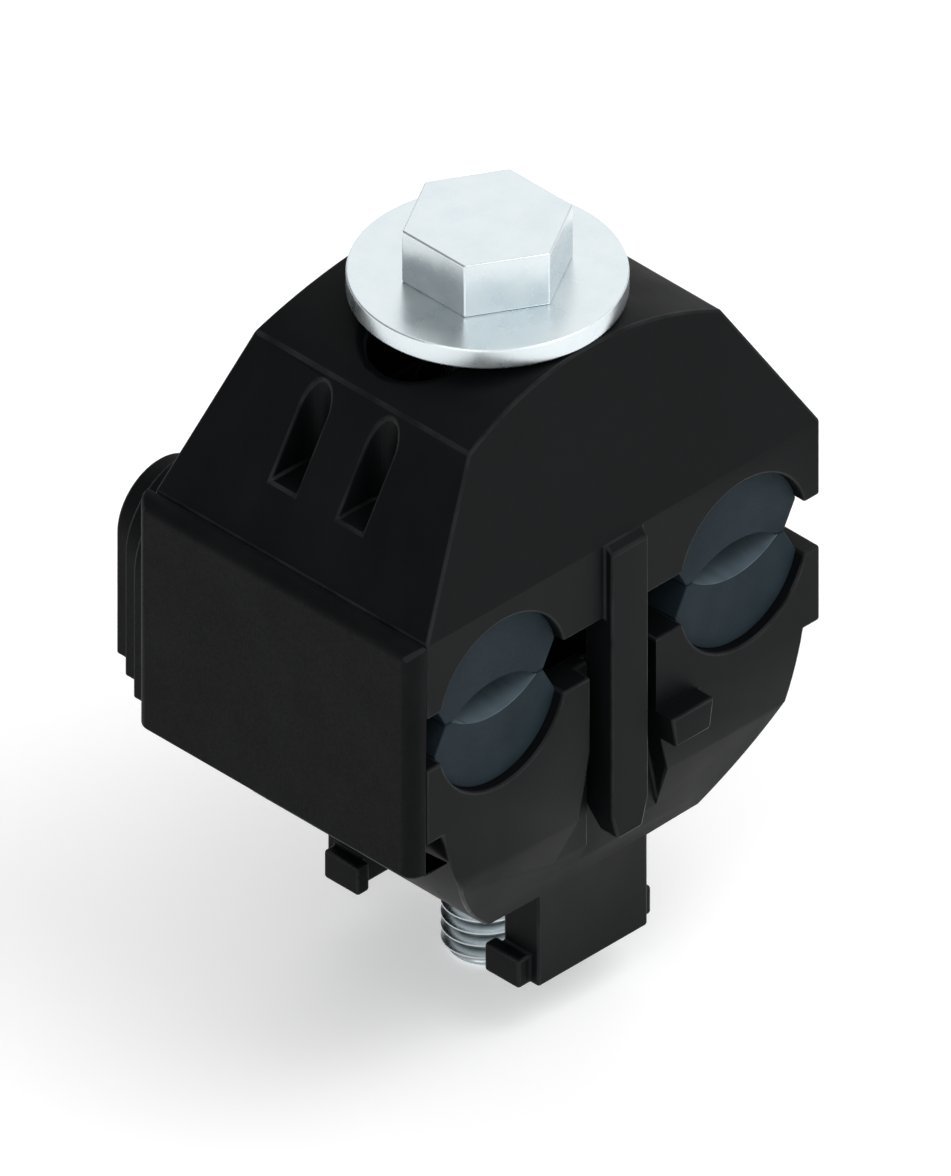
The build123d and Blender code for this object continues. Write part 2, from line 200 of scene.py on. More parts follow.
# %% Weights for the sharp edges
def mark_rounds(mesh, radius):
    """Weighs each sharp edge by how much of the radius it has room for, and counts them."""
    sharp = sharp_edges(mesh)
    points = mesh.vertices
    room = [radius] * len(points)
    for face in mesh.polygons:
        ring = list(face.vertices)
        for place, middle in enumerate(ring):
            first = ring[place - 1]
            last = ring[(place + 1) % len(ring)]
            first_sharp = tuple(sorted((first, middle))) in sharp
            last_sharp = tuple(sorted((last, middle))) in sharp
            if not (first_sharp or last_sharp):
                continue
            before = points[first].co - points[middle].co
            after = points[last].co - points[middle].co
            other = after if first_sharp else before
            limit = corner_room(before, after, first_sharp and last_sharp, other)
            room[middle] = min(room[middle], limit)
    weights = mesh.attributes.new("bevel_weight_edge", "FLOAT", "EDGE")
    for edge in mesh.edges:
        if tuple(sorted(edge.vertices)) in sharp:
            narrow = min(room[index] for index in edge.vertices)
            weights.data[edge.index].value = narrow / radius
    return len(sharp)


# %% [markdown]
# ## Rounded edges and flat faces
#
# The Bevel modifier then rounds each sharp edge as wide as its weight says. It also puts the
# new faces in a second, empty material slot, so that a face attribute can remember them: the
# finishes paint a highlight on them, and on the shells make them glossier. Smooth shading
# alone would bend the light across the large flats beside a narrow round. Shading by angle
# with a Weighted Normal modifier keeps the flats flat, and only the rounds turn.

# %% Rounded edges
SMOOTH_ANGLE = math.radians(28)
FLAT_WEIGHT = 80
ROUNDED = "rounded_edge"
ROUND_SLOT = 1


def round_edges(piece, radius, segments=2):
    """Rounds every sharp edge where it has room, keeps the flats flat and marks the rounds."""
    count = mark_rounds(piece.data, radius * MM)
    piece.data.materials.clear()
    piece.data.materials.append(None)
    piece.data.materials.append(None)
    bevel = piece.modifiers.new("edge_rounding", "BEVEL")
    bevel.width = radius * MM
    bevel.segments = segments
    bevel.limit_method = "WEIGHT"
    bevel.use_clamp_overlap = False
    bevel.material = ROUND_SLOT
    apply_modifiers(piece)
    rounded = piece.data.attributes.new(ROUNDED, "FLOAT", "FACE")
    for face in piece.data.polygons:
        rounded.data[face.index].value = float(face.material_index == ROUND_SLOT)
        face.material_index = 0
    bpy.ops.object.shade_smooth_by_angle(angle=SMOOTH_ANGLE)
    flats = piece.modifiers.new("flat_faces", "WEIGHTED_NORMAL")
    flats.keep_sharp = True
    flats.weight = FLAT_WEIGHT
    apply_modifiers(piece)
    print(piece.name, "rounded edges:", count, "faces:", len(piece.data.polygons))


# %% [markdown]
# ## Softened copies of the CAD pieces
#
# Shells, cap, seals and blades have dozens of cuts, pockets and teeth, and modelled anew they
# would drift from the CAD. A copy of a node keeps every measure. Its mesh is loose triangles,
# which no bevel can round, so the copy's doubles are merged and its flat areas joined again
# before its edges are rounded.

# %% Softened copy of a node
MERGE_DISTANCE = 0.0005 * MM
FLATNESS = math.radians(0.4)
TINY_EDGE = 0.05 * MM


def softened_copy(node, name, radius, segments=2):
    """A copy of a CAD node with its edges rounded by radius, in millimetres."""
    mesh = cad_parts[node].data.copy()
    piece = bpy.data.objects.new(name, mesh)
    bpy.context.scene.collection.objects.link(piece)
    piece.data.materials.clear()
    select_only(piece)
    bpy.ops.object.mode_set(mode="EDIT")
    bpy.ops.mesh.select_all(action="SELECT")
    bpy.ops.mesh.remove_doubles(threshold=MERGE_DISTANCE)
    bpy.ops.mesh.dissolve_limited(angle_limit=FLATNESS)
    bpy.ops.mesh.select_all(action="SELECT")
    bpy.ops.mesh.dissolve_degenerate(threshold=TINY_EDGE)
    bpy.ops.object.mode_set(mode="OBJECT")
    round_edges(piece, radius, segments)
    return piece


# %% [markdown]
# ## Helpers for materials
#
# Each finish is one principled shader whose colour, gloss and bump vary a little, because no
# real surface is quite even. Painted pictures could do that, but they need files and unwrapped
# pieces. Procedural noise needs neither: it reads Object coordinates, so it has its real scale
# on every piece, and stays on it from any side and at any pose.


# %% A new material
def new_material(name):
    """A material with a fresh principled shader, and its node tree."""
    material = bpy.data.materials.new(name)
    material.use_nodes = True
    return material, material.node_tree


def shader_inputs(tree):
    """The sockets of the tree's principled shader."""
    return tree.nodes["Principled BSDF"].inputs


def feed(tree, socket, source):
    """Links a source to one socket of the principled shader."""
    tree.links.new(source, shader_inputs(tree)[socket])


# %% Noise
def noise(tree, scale, detail=2.0, stretch=(1, 1, 1)):
    """A noise texture in Object coordinates; scale is in features per metre."""
    place = tree.nodes.new("ShaderNodeTexCoord")
    mapping = tree.nodes.new("ShaderNodeMapping")
    mapping.inputs["Scale"].default_value = stretch
    texture = tree.nodes.new("ShaderNodeTexNoise")
    texture.inputs["Scale"].default_value = scale
    texture.inputs["Detail"].default_value = detail
    tree.links.new(place.outputs["Object"], mapping.inputs["Vector"])
    tree.links.new(mapping.outputs["Vector"], texture.inputs["Vector"])
    return texture.outputs["Fac"]


# %% [markdown]
# Noise is a grey value that seldom leaves the range from 0.3 to 0.7. Used as it is, it would
# swing a finish far too much. A Map Range node lays that range between two numbers, such as a
# low and a high roughness, and a Color Ramp node lays it between a dark and a light tone, so
# the finish never leaves what the real surface shows.

# %% Numbers and tones
NOISE_LOW = 0.3
NOISE_HIGH = 0.7


def spread(tree, source, values, start=NOISE_LOW, end=NOISE_HIGH):
    """Maps a source onto the range between two plain numbers."""
    node = tree.nodes.new("ShaderNodeMapRange")
    node.inputs["From Min"].default_value = start
    node.inputs["From Max"].default_value = end
    node.inputs["To Min"].default_value = values[0]
    node.inputs["To Max"].default_value = values[1]
    tree.links.new(source, node.inputs["Value"])
    return node.outputs["Result"]


def tint(tree, source, tones):
    """Maps a noise value onto a colour between a dark and a light tone."""
    node = tree.nodes.new("ShaderNodeValToRGB")
    for element, place, tone in zip(node.color_ramp.elements, (NOISE_LOW, NOISE_HIGH), tones):
        element.position = place
        element.color = (*tone, 1)
    tree.links.new(source, node.inputs["Fac"])
    return node.outputs["Color"]


# %% [markdown]
# Some finishes change at places that no noise can know, such as an edge or the root of a
# thread. A second material would change there too, but only in one step. An attribute of the
# mesh keeps a share for each face or point, and a Mix node goes from one look to the other by
# that share.

# %% Marks and mixes
def read_mark(tree, name):
    """The value that an attribute of the mesh holds, from 0 to 1."""
    node = tree.nodes.new("ShaderNodeAttribute")
    node.attribute_name = name
    return node.outputs["Fac"]


def mixed(tree, kind, share, first, second):
    """Goes from a first to a second FLOAT or RGBA value as the share goes from 0 to 1."""
    node = tree.nodes.new("ShaderNodeMix")
    node.data_type = kind
    tree.links.new(share, node.inputs["Factor"])
    tree.links.new(first, node.inputs["A"])
    tree.links.new(second, node.inputs["B"])
    return node.outputs["Result"]


# %% [markdown]
# Grain a few hundredths of a millimetre deep could be modelled, but it would take millions of
# faces. A Bump node only tilts the light as such grain does, and one Bump can pass its normal
# on to the next, so fine grain lies on broad waves.

# %% Bumps
def bumps(tree, *layers):
    """Stacks bumps from fine to broad: height source, strength and depth in millimetres."""
    last = None
    for height, strength, depth in layers:
        bump = tree.nodes.new("ShaderNodeBump")
        bump.inputs["Strength"].default_value = strength
        bump.inputs["Distance"].default_value = depth * MM
        tree.links.new(height, bump.inputs["Height"])
        if last is not None:
            tree.links.new(last, bump.inputs["Normal"])
        last = bump.outputs["Normal"]
    feed(tree, "Normal", last)


# %% Keep a finish
finishes = {}


def keep_finish(slot, material):
    """Keeps a finish under the name of its material slot."""
    finishes[slot] = material
    print("finish for", slot, "has nodes:", len(material.node_tree.nodes))


# %% [markdown]
# ## Moulded black plastic
#
# The shells are glass-filled nylon, moulded black: almost no colour of its own, a satin
# surface with a fine spark-eroded grain, and faint flow marks that change the gloss a little.
# The rounds are glossier, and their colour is a trace paler, unevenly so: a painted
# highlight that makes the edges read as lit. Edges could be found by how sharply the surface
# bends, but the rounding step has marked those faces already, and a mark has a clean border.

# %% Moulded black plastic
NYLON_TONES = ((0.0024, 0.0029, 0.0033), (0.0042, 0.0048, 0.0053))
NYLON_ROUGHNESS = (0.40, 0.52)
NYLON_SPECULAR = 0.08
# Paler tones for the rounds: a painted highlight along the edges.
EDGE_HIGHLIGHT_TONES = ((0.0060, 0.0066, 0.0070), (0.0190, 0.0200, 0.0210))
ROUND_ROUGHNESS = (0.36, 0.24)
FLOW_SCALE = 160
FLOW_BUMP = (0.08, 0.2)
GRAIN_SCALE = 5200
GRAIN_BUMP = (0.22, 0.03)
ROUND_NOISE_SCALE = 320


def moulded_black():
    """Black plastic with flow marks and grain, glossier and with a painted highlight where its
    edges are rounded.
    """
    material, tree = new_material("moulded_black")
    flow = noise(tree, FLOW_SCALE, detail=3.0, stretch=(1, 1, 0.45))
    grain = noise(tree, GRAIN_SCALE)
    colour = tint(tree, flow, NYLON_TONES)
    rough = spread(tree, flow, NYLON_ROUGHNESS)
    rounds = read_mark(tree, ROUNDED)
    round_noise = noise(tree, ROUND_NOISE_SCALE, detail=3.0)
    # Painted highlight: the rounds' colour is mixed towards paler tones.
    painted_edge_highlight = tint(tree, round_noise, EDGE_HIGHLIGHT_TONES)
    polished = spread(tree, round_noise, ROUND_ROUGHNESS)
    feed(tree, "Base Color", mixed(tree, "RGBA", rounds, colour, painted_edge_highlight))
    feed(tree, "Roughness", mixed(tree, "FLOAT", rounds, rough, polished))
    shader_inputs(tree)["Specular IOR Level"].default_value = NYLON_SPECULAR
    bumps(tree, (grain, *GRAIN_BUMP), (flow, *FLOW_BUMP))
    return material


keep_finish("shell", moulded_black())

# %% [markdown]
# ## Rubber
#
# The seals and the cap are elastomers, softer and duller than the shells. Rubber spreads the
# light, so it is rough, with a pebbled skin and a faint bloom on the surface. A sheen, as
# cloth has, would show the bloom too, but only at grazing angles, and a rough coat with very
# little mirror is closer to moulded rubber. Seals and cap differ little but in tone, so one
# recipe serves both.

# %% Rubber
BLOOM_SCALE = 240
BLOOM_BUMP = (0.12, 0.2)
SKIN_SCALE = 3800
SKIN_BUMP = (0.25, 0.03)


def elastomer(name, tones, roughness, specular):
    """A rough rubber between two tones, with its colour and roughness outputs."""
    material, tree = new_material(name)
    bloom = noise(tree, BLOOM_SCALE, detail=4.0)
    skin = noise(tree, SKIN_SCALE, detail=3.0)
    colour = tint(tree, bloom, tones)
    rough = spread(tree, skin, roughness)
    feed(tree, "Base Color", colour)
    feed(tree, "Roughness", rough)
    shader_inputs(tree)["Specular IOR Level"].default_value = specular
    bumps(tree, (skin, *SKIN_BUMP), (bloom, *BLOOM_BUMP))
    return material, colour, rough


# %% [markdown]
# ## Slate seals with painted light in the scoops
#
# The seals are a dark slate grey. Their scoops are glossier and painted paler: the pale colour
# is painted light that lifts the shade inside the lens-shaped opening. A value kept on the
# seal's faces tells the material where the scoops lie.

# %% Seal rubber
SLATE_TONES = ((0.011, 0.020, 0.026), (0.018, 0.029, 0.037))
SLATE_ROUGHNESS = (0.52, 0.66)
SLATE_SPECULAR = 0.09
# Paler tones for the scoops: painted light on the shade inside the lens.
SCOOP_LIGHT_TONES = ((0.085, 0.120, 0.140), (0.115, 0.155, 0.180))
SCOOP_ROUGHNESS = (0.26, 0.36)
SCOOP_NOISE_SCALE = 700
LIT_SCOOP = "painted_light_scoop"


def seal_rubber():
    """Slate rubber, glossier and painted paler where the scoops are marked, a painted light on
    their shade.
    """
    slate = (SLATE_TONES, SLATE_ROUGHNESS, SLATE_SPECULAR)
    material, colour, rough = elastomer("seal_rubber", *slate)
    tree = material.node_tree
    scoop_share = read_mark(tree, LIT_SCOOP)
    scoop_noise = noise(tree, SCOOP_NOISE_SCALE, detail=3.0, stretch=(1, 0.3, 1))
    # Painted light: the scoops' colour is mixed towards paler tones.
    painted_scoop_light = tint(tree, scoop_noise, SCOOP_LIGHT_TONES)
    gloss = spread(tree, scoop_noise, SCOOP_ROUGHNESS)
    feed(tree, "Base Color", mixed(tree, "RGBA", scoop_share, colour, painted_scoop_light))
    feed(tree, "Roughness", mixed(tree, "FLOAT", scoop_share, rough, gloss))
    return material


keep_finish("seal", seal_rubber())

# %% [markdown]
# ## Black cap rubber
#
# The cap is black, and its rounds are painted a little paler, a painted highlight along its
# edges. On the shells the rounds turn glossier too. The cap's rounds stay as rough as the
# rest, and only the colour is mixed.

# %% Cap rubber
BLACK_TONES = ((0.0024, 0.0028, 0.0032), (0.0046, 0.0051, 0.0056))
BLACK_ROUGHNESS = (0.50, 0.64)
BLACK_SPECULAR = 0.07
# Paler tones for the cap's rounds: a painted highlight along its edges.
CAP_HIGHLIGHT_TONES = ((0.0070, 0.0082, 0.0088), (0.0200, 0.0230, 0.0245))
CAP_HIGHLIGHT_SCALE = 260


def cap_rubber():
    """Black rubber, with a painted highlight a little paler where its edges are rounded."""
    black = (BLACK_TONES, BLACK_ROUGHNESS, BLACK_SPECULAR)
    material, colour, _ = elastomer("cap_rubber", *black)
    tree = material.node_tree
    rounds = read_mark(tree, ROUNDED)
    cap_highlight_noise = noise(tree, CAP_HIGHLIGHT_SCALE, detail=3.0)
    # Painted highlight: the cap's rounds are mixed towards paler tones.
    painted_cap_highlight = tint(tree, cap_highlight_noise, CAP_HIGHLIGHT_TONES)
    feed(tree, "Base Color", mixed(tree, "RGBA", rounds, colour, painted_cap_highlight))
    return material


keep_finish("cap", cap_rubber())

# %% [markdown]
# ## Plated metal
#
# Screw, washer, nut and blades are coated by plating, which leaves a soft cloudy gloss over
# the fine drawing marks of the metal below. Brushed metal is often made with an anisotropic
# shader, which needs tangents. Here the marks are a noise stretched along one axis, in a very
# shallow bump, so they follow each piece without any.

# %% Plated metal
CLOUD_SCALE = 420
CLOUD_BUMP = (0.05, 0.1)
DRAWN_SCALE = 2600
DRAWN_BUMP = (0.10, 0.02)


def plated(name, tones, roughness, marks, metallic=1.0):
    """A cloudy metal between two tones, with its colour and roughness outputs."""
    material, tree = new_material(name)
    clouds = noise(tree, CLOUD_SCALE)
    drawn = noise(tree, DRAWN_SCALE, stretch=marks)
    colour = tint(tree, clouds, tones)
    rough = spread(tree, clouds, roughness)
    feed(tree, "Base Color", colour)
    feed(tree, "Roughness", rough)
    shader_inputs(tree)["Metallic"].default_value = metallic
    bumps(tree, (drawn, *DRAWN_BUMP), (clouds, *CLOUD_BUMP))
    return material, colour, rough


# %% [markdown]
# ## Zinc plate with painted shade in the thread
#
# Zinc plate is bright and slightly blue. The roots of a thread are painted dark, a painted
# shade which makes its turns readable from afar. Light alone would darken a deep groove a
# little, but not a shallow one in a bright studio, so the screw's mesh says how deep in the
# thread each point lies, and the finish turns darker and rougher with that depth.

# %% Zinc plate
ZINC_TONES = ((0.70, 0.77, 0.80), (0.76, 0.82, 0.84))
ZINC_ROUGHNESS = (0.25, 0.31)
# Dark tones for the thread's roots: painted shade.
ROOT_SHADE_TONES = ((0.105, 0.125, 0.135), (0.220, 0.250, 0.265))
ROOT_ROUGHNESS = (0.34, 0.46)
ROOT_SHADE_SCALE = 900
ROOT_SHADE_STARTS = 0.3
THREAD_DEPTH = "thread_depth"


def zinc_plate():
    """Bright zinc with painted shade that turns it dark and rougher towards the roots of a
    thread.
    """
    upright = (1, 1, 0.25)
    material, colour, rough = plated("zinc_plate", ZINC_TONES, ZINC_ROUGHNESS, upright)
    tree = material.node_tree
    root = spread(tree, read_mark(tree, THREAD_DEPTH), (0, 1), start=ROOT_SHADE_STARTS, end=1)
    root_noise = noise(tree, ROOT_SHADE_SCALE, detail=3.0)
    # Painted shade: the colour turns dark towards the thread's roots.
    painted_root_shade = tint(tree, root_noise, ROOT_SHADE_TONES)
    dull = spread(tree, root_noise, ROOT_ROUGHNESS)
    feed(tree, "Base Color", mixed(tree, "RGBA", root, colour, painted_root_shade))
    feed(tree, "Roughness", mixed(tree, "FLOAT", root, rough, dull))
    return material


keep_finish("zinc_steel", zinc_plate())

# %% [markdown]
# ## Tinned copper
#
# The contact blades are copper with a coat of tin, which is warmer than zinc and matt. A fully
# metallic shader would only mirror the dark slots around them, so about a third of the tin's
# light is spread instead, as its matt grain does.

# %% Tinned copper
TIN_TONES = ((0.60, 0.59, 0.56), (0.74, 0.73, 0.70))
TIN_ROUGHNESS = (0.40, 0.54)
TIN_METALLIC = 0.65


def tinned_copper():
    """Matt, warm tin with the rolling marks of the sheet along each blade."""
    lengthwise = (0.2, 1, 1)
    return plated("tinned_copper", TIN_TONES, TIN_ROUGHNESS, lengthwise, TIN_METALLIC)[0]


keep_finish("contact", tinned_copper())

# %% [markdown]
# ## Dressing a piece
#
# Every finished piece needs the same few things: its finish, the body that it moves with, the
# material slot that it belongs to, and the CAD node that it stands for. They could be written
# out for each piece, but one helper keeps them together, so that none is forgotten.

# %% Dress a piece
def dress(piece, body, slot, *nodes):
    """Gives a piece its finish, lets it ride on its body and stand for its CAD nodes."""
    piece.data.materials.clear()
    piece.data.materials.append(finishes[slot])
    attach(piece, body)
    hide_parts(*nodes)


# %% [markdown]
# ## Shells
#
# The upper shell carries the crown with the screw's slot, four pockets and two guide legs. The
# lower one carries the recesses for the legs, the nut's pocket and two hooked lugs. Both come
# from the CAD with all of that, as softened copies. A hand-held moulding of this size has
# rounds of about a quarter of a millimetre, wide enough to draw a thin line of light.

# %% Shells
SHELL_EDGE = 0.25

upper = softened_copy("upper_shell", "upper_moulding", SHELL_EDGE)
dress(upper, "upper_jaw", "shell", "upper_shell")
lower = softened_copy("lower_shell", "lower_moulding", SHELL_EDGE)
dress(lower, "lower_jaw", "shell", "lower_shell")

# %% [markdown]
# ## End cap
#
# The cap closes the tap side: a side plate, a rear wall, and a stepped hood over the cut end
# of the tap cable. It is softer than the shells and its mould leaves larger rounds, so the
# copy's rounds are wider, with one segment more to keep them smooth.

# %% End cap
CAP_EDGE = 0.3

cap = softened_copy("tap_end_cap", "end_cap_moulding", CAP_EDGE, segments=3)
dress(cap, "lower_jaw", "cap", "tap_end_cap")

# %% [markdown]
# ## Painted light in the seals
#
# Each half groove holds a rubber seal with a shallow scoop for the conductor. The two halves
# leave a lens-shaped opening, and its scoop faces get painted light. Its faces could be picked
# one by one, but their place tells them apart: near the groove's middle, near the parting
# plane, and not on the seal's ends.

# %% Painted light in the scoops
SCOOP_HALF_WIDTH = 5.0
SCOOP_DEPTH = 1.8
SEAL_HALF_LENGTH = 15.2
END_NORMAL = 0.5


def mark_lit_scoops(seal, groove_x):
    """Marks the faces of the scoop, where the painted light lies."""
    scoop_share = seal.data.attributes.new(LIT_SCOOP, "FLOAT", "FACE")
    for face in seal.data.polygons:
        across = abs(face.center.x - groove_x * MM) < SCOOP_HALF_WIDTH * MM
        shallow = abs(face.center.z) < SCOOP_DEPTH * MM
        inside = abs(face.center.y) < SEAL_HALF_LENGTH * MM
        lengthwise = abs(face.normal.y) < END_NORMAL
        scoop_share.data[face.index].value = float(across and shallow and inside and lengthwise)


# %% [markdown]
# ## Ribs on the seals
#
# The CAD keeps a hair of clearance around each seal, and light would shine through it from end
# to end. Rubber fills its seat. A seal that is thicker all over would press into the shell
# everywhere, so only a low rib runs around the middle of its back, where it can't be seen: two
# cuts across the round back, and the strip between them raised.

# %% Rib around a seal's back
RIB_HALF_WIDTH = 1.0
RIB_HEIGHT = 0.08
BACK_SHARE = 0.98
BACK_NORMAL = 0.1
CUT_TOLERANCE = 0.00001 * MM


def add_rib(seal, groove_x, rise):
    """Raises a low rib around the middle of the seal's round back."""
    axis = Vector((groove_x, 0, rise)) * MM
    radius = max((corner.co - axis).xz.length for corner in seal.data.vertices)

    def on_back(face):
        across = (face.center - axis).xz.length
        return abs(face.normal.y) < BACK_NORMAL and across > BACK_SHARE * radius

    pick(seal, "FACE", on_back)
    for edge in (-RIB_HALF_WIDTH, RIB_HALF_WIDTH):
        bpy.ops.mesh.bisect(
            plane_co=(0, edge * MM, 0),
            plane_no=(0, 1, 0),
            threshold=CUT_TOLERANCE,
        )
        bpy.ops.object.mode_set(mode="OBJECT")
        pick(seal, "FACE", on_back)
    bpy.ops.object.mode_set(mode="OBJECT")
    pick(seal, "FACE", lambda face: on_back(face) and abs(face.center.y) < RIB_HALF_WIDTH * MM)
    bpy.ops.mesh.extrude_region_move(TRANSFORM_OT_translate={"value": (0, 0, 0)})
    taller = 1 + RIB_HEIGHT * MM / radius
    bpy.ops.transform.resize(value=(taller, 1, taller), center_override=axis)
    bpy.ops.object.mode_set(mode="OBJECT")
    print(seal.name, "rib radius in millimetres:", round(radius * taller / MM, 3))


# %% [markdown]
# ## Lips of the seals
#
# The lips of two facing seals touch beside the conductor and keep the rain out. In the CAD
# they stop short of the parting plane, and a bright line would show between them, so their
# flats are scaled almost onto the plane. When the jaws close, the lips press into each other,
# and two end faces in one plane would flicker there. So the upper seals are a few hundredths
# of a millimetre shorter.

# %% Lips and length
LIP_FLAT = 0.06
LIP_GAP = 0.004
UPPER_SHRINK = 0.998


def close_lips(seal):
    """Brings the flats of the lips close to the parting plane."""
    pick(seal, "VERT", lambda corner: abs(corner.co.z) < LIP_FLAT * MM)
    bpy.ops.transform.resize(value=(1, 1, LIP_GAP / LIP_FLAT), center_override=(0, 0, 0))
    bpy.ops.object.mode_set(mode="OBJECT")


def shorten(seal, share):
    """Scales a seal a little along its groove."""
    pick(seal, "VERT", lambda corner: True)
    bpy.ops.transform.resize(value=(1, share, 1), center_override=(0, 0, 0))
    bpy.ops.object.mode_set(mode="OBJECT")


# %% [markdown]
# ## The four seals
#
# Two grooves with two jaws each make four seals. One finished seal could be copied and
# mirrored, but a mirrored copy needs its faces turned again, and every CAD node has its own
# mesh already. So a loop takes each node in turn through the same steps.

# %% Four seals
SEAL_EDGE = 0.12
GROOVE_CENTRES = {"main": 0.0, "tap": -28.8}
GROOVE_RISE = 1.0

for side, groove_x in GROOVE_CENTRES.items():
    for jaw in ("upper", "lower"):
        node = f"{side}_{jaw}_seal"
        seal = softened_copy(node, f"{side}_{jaw}_rubber", SEAL_EDGE)
        add_rib(seal, groove_x, GROOVE_RISE if jaw == "upper" else -GROOVE_RISE)
        close_lips(seal)
        mark_lit_scoops(seal, groove_x)
        if jaw == "upper":
            shorten(seal, UPPER_SHRINK)
        dress(seal, f"{jaw}_jaw", "seal", node)

# %% [markdown]
# ## Contact blades
#
# Two toothed blades in each jaw bridge both conductors and carry the current. They are stamped
# from sheet, and a stamped edge is only barely broken. A single facet shows that, where a
# round of several segments would look cast.

# %% Contact blades
BLADE_EDGE = 0.08

for jaw in ("upper", "lower"):
    for end in ("front", "rear"):
        node = f"{jaw}_{end}_blade"
        blade = softened_copy(node, f"{jaw}_{end}_contact", BLADE_EDGE, segments=1)
        dress(blade, f"{jaw}_jaw", "contact", node)

# %% [markdown]
# ## Steel blanks
#
# The screw, the washer and the nut are turned and formed from steel bar and sheet, and each
# starts as a blank. So does its mesh: a cylinder primitive on the screw's axis, with six sides
# for a hexagon, or with many, so that its outline stays round from close by. A subdivided
# cylinder would be round too, but it would creep in from the real radius.

# %% Steel blanks
SCREW_X = -14.4
ROUND_SIDES = 128


def steel_blank(name, sides, radius, low, high):
    """A closed cylinder on the screw's axis, between two heights in millimetres."""
    bpy.ops.object.select_all(action="DESELECT")
    bpy.ops.mesh.primitive_cylinder_add(
        vertices=sides,
        radius=radius * MM,
        depth=(high - low) * MM,
        location=(SCREW_X * MM, 0, (low + high) / 2 * MM),
    )
    blank = settle(bpy.context.object)
    blank.name = name
    return blank


# %% [markdown]
# ## Washer
#
# A flat washer spreads the screw's pull over the slot in the crown. Its bore could be cut with
# a Boolean modifier. As both ends are flat, it is simpler to inset them down to the bore,
# delete what is left in the middle, and bridge the two rings of open edges into a wall.

# %% Open a bore
FLAT_END_NORMAL = 0.99


def open_bore(piece, outer_radius, bore_radius):
    """Insets both ends to the bore, and bridges the two rings into a hole."""
    pick(piece, "FACE", lambda face: abs(face.normal.z) > FLAT_END_NORMAL)
    bpy.ops.mesh.inset(thickness=(outer_radius - bore_radius) * MM)
    bpy.ops.mesh.delete(type="ONLY_FACE")
    bpy.ops.mesh.select_mode(type="EDGE")
    bpy.ops.mesh.select_all(action="DESELECT")
    bpy.ops.mesh.select_non_manifold()
    bpy.ops.mesh.bridge_edge_loops()
    bpy.ops.mesh.select_all(action="SELECT")
    bpy.ops.mesh.normals_make_consistent(inside=False)
    bpy.ops.object.mode_set(mode="OBJECT")


# %% Washer
WASHER_RADIUS = 12.0
WASHER_BORE_RADIUS = 4.2
WASHER_LOW = 27.6
WASHER_HIGH = 29.6
WASHER_EDGE = 0.22

washer = steel_blank("plated_washer", ROUND_SIDES, WASHER_RADIUS, WASHER_LOW, WASHER_HIGH)
open_bore(washer, WASHER_RADIUS, WASHER_BORE_RADIUS)
round_edges(washer, WASHER_EDGE, segments=3)
dress(washer, "upper_jaw", "zinc_steel", "flat_washer")

# %% [markdown]
# ## Outline of the thread
#
# The screw is an M8 by 70 with a coarse thread of 1.25 mm pitch, cut almost up to the head. A
# bump would leave its outline straight, and a stack of rings wouldn't climb, so the thread is
# real geometry. It starts as the outline of one turn, drawn from a plane: the plane becomes
# the tooth, with a narrow crest and a wide base, and a root line is added to it.

# %% Shape the tooth
PITCH = 1.25
CREST_RADIUS = 3.97
ROOT_RADIUS = 3.23
BASE_SHARE = 0.75
CREST_SHARE = 0.125


def shape_tooth(outline, centre):
    """Narrows an upright plane to a tooth with its crest outwards and no base edge."""
    depth = CREST_RADIUS - ROOT_RADIUS
    select_only(outline)
    bpy.ops.object.mode_set(mode="EDIT")
    bpy.ops.transform.resize(value=(depth / PITCH, 1, BASE_SHARE), center_override=(0, 0, 0))
    bpy.ops.transform.translate(value=(centre, 0, 0))
    bpy.ops.object.mode_set(mode="OBJECT")
    pick(outline, "VERT", lambda corner: corner.co.x > centre)
    narrower = CREST_SHARE / BASE_SHARE
    bpy.ops.transform.resize(value=(1, 1, narrower), center_override=(0, 0, 0))
    bpy.ops.object.mode_set(mode="OBJECT")
    corners = outline.data.vertices
    pick(outline, "EDGE", lambda edge: all(corners[i].co.x < centre for i in edge.vertices))
    bpy.ops.mesh.delete(type="EDGE_FACE")
    bpy.ops.object.mode_set(mode="OBJECT")


# %% Outline of one turn
ROOT_SHARE = 0.25


def thread_outline():
    """One turn's outline: the flanks and crest of the tooth, then the root."""
    bpy.ops.object.select_all(action="DESELECT")
    bpy.ops.mesh.primitive_plane_add(size=PITCH * MM, rotation=(math.pi / 2, 0, 0))
    outline = settle(bpy.context.object)
    outline.name = "screw_thread"
    centre = (ROOT_RADIUS + (CREST_RADIUS - ROOT_RADIUS) / 2) * MM
    shape_tooth(outline, centre)
    pick(outline, "VERT", lambda corner: corner.co.x < centre and corner.co.z > 0)
    root = (0, 0, ROOT_SHARE * PITCH * MM)
    bpy.ops.mesh.extrude_region_move(TRANSFORM_OT_translate={"value": root})
    bpy.ops.object.mode_set(mode="OBJECT")
    return outline


# %% [markdown]
# ## Winding the thread
#
# A Screw modifier sweeps the outline around the axis and lifts it by one pitch each turn, as a
# lathe's tool does. It could be built by hand with Spin, but then the height of every step
# would have to be set too. A few spare turns at both ends are cut off again, so that the
# thread starts and stops at a plain flat face.

# %% Cut to length
def cut_and_close(piece, height, keep_above):
    """Cuts a piece at a height in millimetres, drops one side and closes the cut."""
    select_only(piece)
    bpy.ops.object.mode_set(mode="EDIT")
    bpy.ops.mesh.select_mode(type="VERT")
    bpy.ops.mesh.select_all(action="SELECT")
    bpy.ops.mesh.bisect(
        plane_co=(0, 0, height * MM),
        plane_no=(0, 0, 1),
        threshold=CUT_TOLERANCE,
        use_fill=True,
        clear_inner=keep_above,
        clear_outer=not keep_above,
    )
    bpy.ops.object.mode_set(mode="OBJECT")


# %% Thread
THREAD_LOW = -40.4
THREAD_HIGH = 27.4
SPARE_TURNS = 3
STEPS_PER_TURN = 40
SEAM_TOLERANCE = 0.001 * MM


